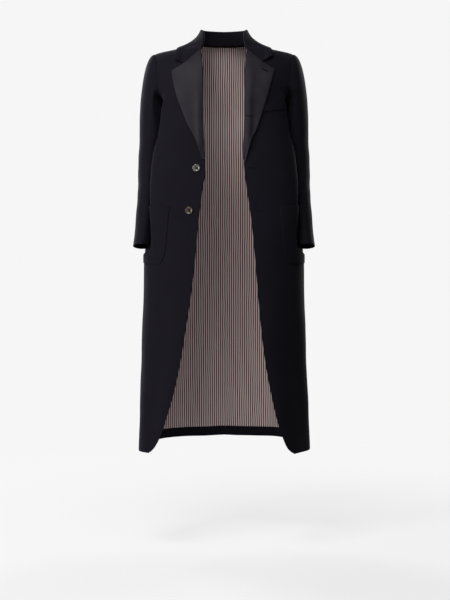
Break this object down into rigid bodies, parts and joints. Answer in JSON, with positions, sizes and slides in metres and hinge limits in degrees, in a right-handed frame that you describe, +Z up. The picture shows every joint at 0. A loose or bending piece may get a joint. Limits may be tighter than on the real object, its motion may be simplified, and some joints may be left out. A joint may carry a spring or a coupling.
{
  "type": "long open blazer coat",
  "caption": "Ankle-length open evening blazer with a notched satin lapel, patch pockets, breast welt and striped lining, holding the hollow form of its wearer",
  "frame": {"origin": "the middle between the shoulder seams' neck ends, where the wearer's neck and shoulders hold the garment", "axes": "+X the wearer's left, -Y the front, +Z up, with the garment hanging along Z"},
  "size_m": [0.5722, 0.3933, 1.3263],
  "materials": {
    "wool": "matt black wool with a fine twill",
    "satin": "black satin with a soft sheen",
    "lining": "smooth lining with fine vertical stripes",
    "horn": "pale polished horn",
    "dark_horn": "dark polished horn"
  },
  "bodies": {
    "root": {"front_right": "wool", "front_left": "wool", "back_right": "wool", "back_left": "wool", "back_lining": "lining", "sleeve_top_right": "wool", "sleeve_top_left": "wool", "sleeve_under_right": "wool", "sleeve_under_left": "wool", "collar": "wool", "lapel_right": "satin", "lapel_left": "satin", "pocket_right": "wool", "pocket_left": "wool", "breast_welt": "wool", "front_button_1": "horn", "front_button_2": "horn", "cuff_button_right_1": "dark_horn", "cuff_button_right_2": "dark_horn", "cuff_button_right_3": "dark_horn", "cuff_button_right_4": "dark_horn", "cuff_button_left_1": "dark_horn", "cuff_button_left_2": "dark_horn", "cuff_button_left_3": "dark_horn", "cuff_button_left_4": "dark_horn"}
  },
  "joints": []
}
